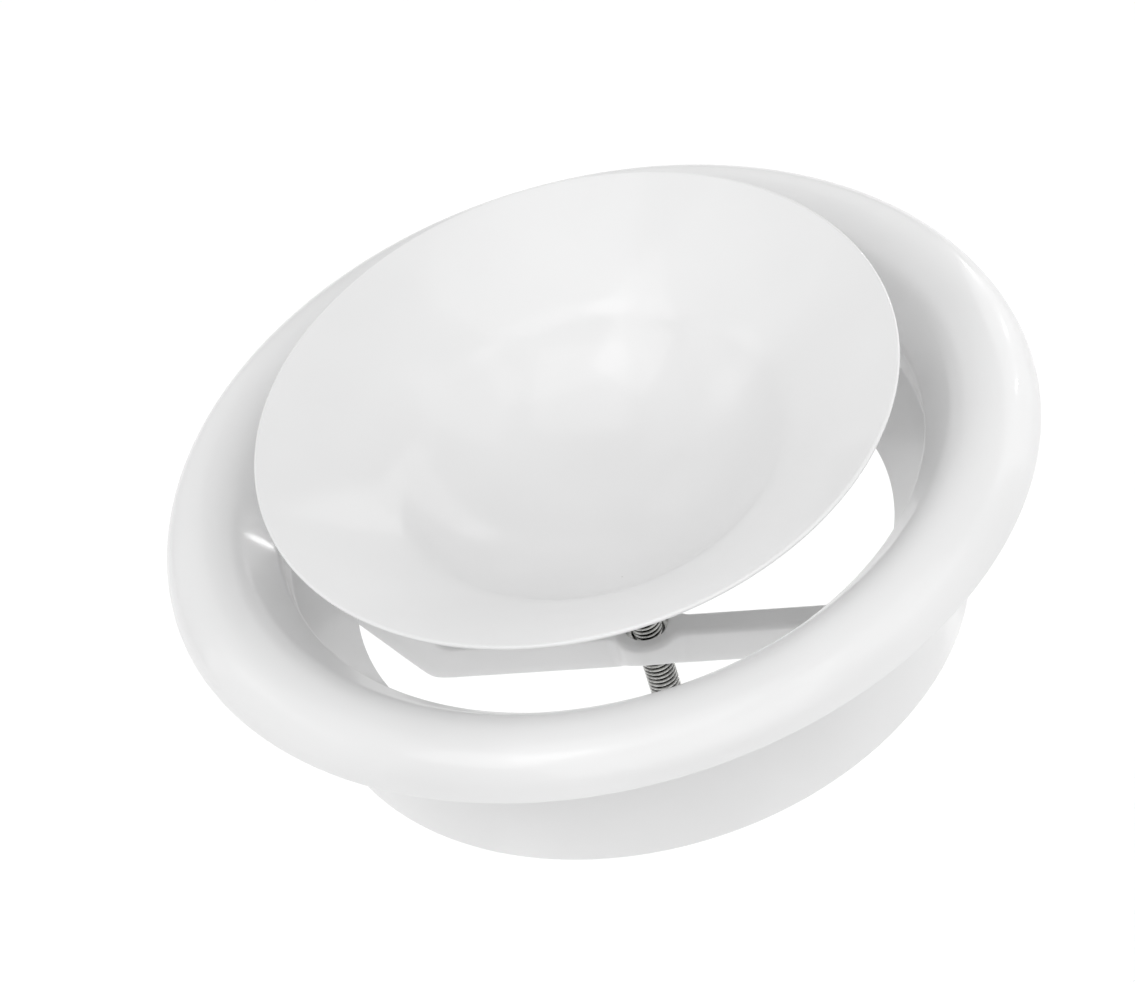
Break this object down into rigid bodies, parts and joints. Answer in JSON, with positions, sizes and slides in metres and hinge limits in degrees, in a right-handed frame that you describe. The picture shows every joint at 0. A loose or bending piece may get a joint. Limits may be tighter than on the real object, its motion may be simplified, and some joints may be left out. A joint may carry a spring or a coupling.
{
  "type": "ceiling air diffuser",
  "caption": "Round ceiling disc valve: a rolled flange on a duct collar, with a dished disc on a screw carried by a bridge; turning the disc changes the air gap.",
  "frame": {"origin": "on the valve's axis, at the upper end of the duct collar's straight wall, 0.5 mm inside the plane of the ceiling", "axes": "+Z points out of the valve's face, away from the duct (down into the room when it is fitted); X runs along the bridge that carries the dish"},
  "size_m": [0.162, 0.162, 0.0964],
  "materials": {
    "white_coat": "gloss powder coat",
    "zinc_plate": "bright zinc plate",
    "grey_foam": "closed-cell foam, matt"
  },
  "bodies": {
    "housing": {"valve_body": "white_coat", "duct_collar": "white_coat", "foam_gasket": "grey_foam", "bridge": "white_coat", "threaded_bush": "zinc_plate"},
    "screw_carriage": {"stop_washer": "zinc_plate"},
    "dish_assembly": {"dish": "white_coat", "stud_plate": "zinc_plate", "spindle": "zinc_plate", "stop_nut": "zinc_plate"},
    "nut_carriage": {"lock_washer": "zinc_plate"},
    "lock_nut_body": {"lock_nut": "zinc_plate"}
  },
  "joints": [
    {"name": "dish_travel", "type": "slide", "parent": "housing", "child": "screw_carriage", "axis": [0, 0, 1], "range_m": [-0.014, 0.016]},
    {"name": "dish_turn", "type": "hinge", "parent": "screw_carriage", "child": "dish_assembly", "pos_m": [0, 0, 0], "axis": [0, 0, 1], "range_deg": [-5040, 5760]},
    {"name": "lock_nut_travel", "type": "slide", "parent": "dish_assembly", "child": "nut_carriage", "axis": [0, 0, 1], "range_m": [-0.004, 0]},
    {"name": "lock_nut_turn", "type": "hinge", "parent": "nut_carriage", "child": "lock_nut_body", "pos_m": [0, 0, 0], "axis": [0, 0, 1], "range_deg": [-1440, 0]}
  ],
  "couplings": [
    {"joint": "dish_travel", "follows": "dish_turn", "m_per_rad": 0.00015915},
    {"joint": "lock_nut_turn", "follows": "lock_nut_travel", "rad_per_m": 6283.2}
  ]
}
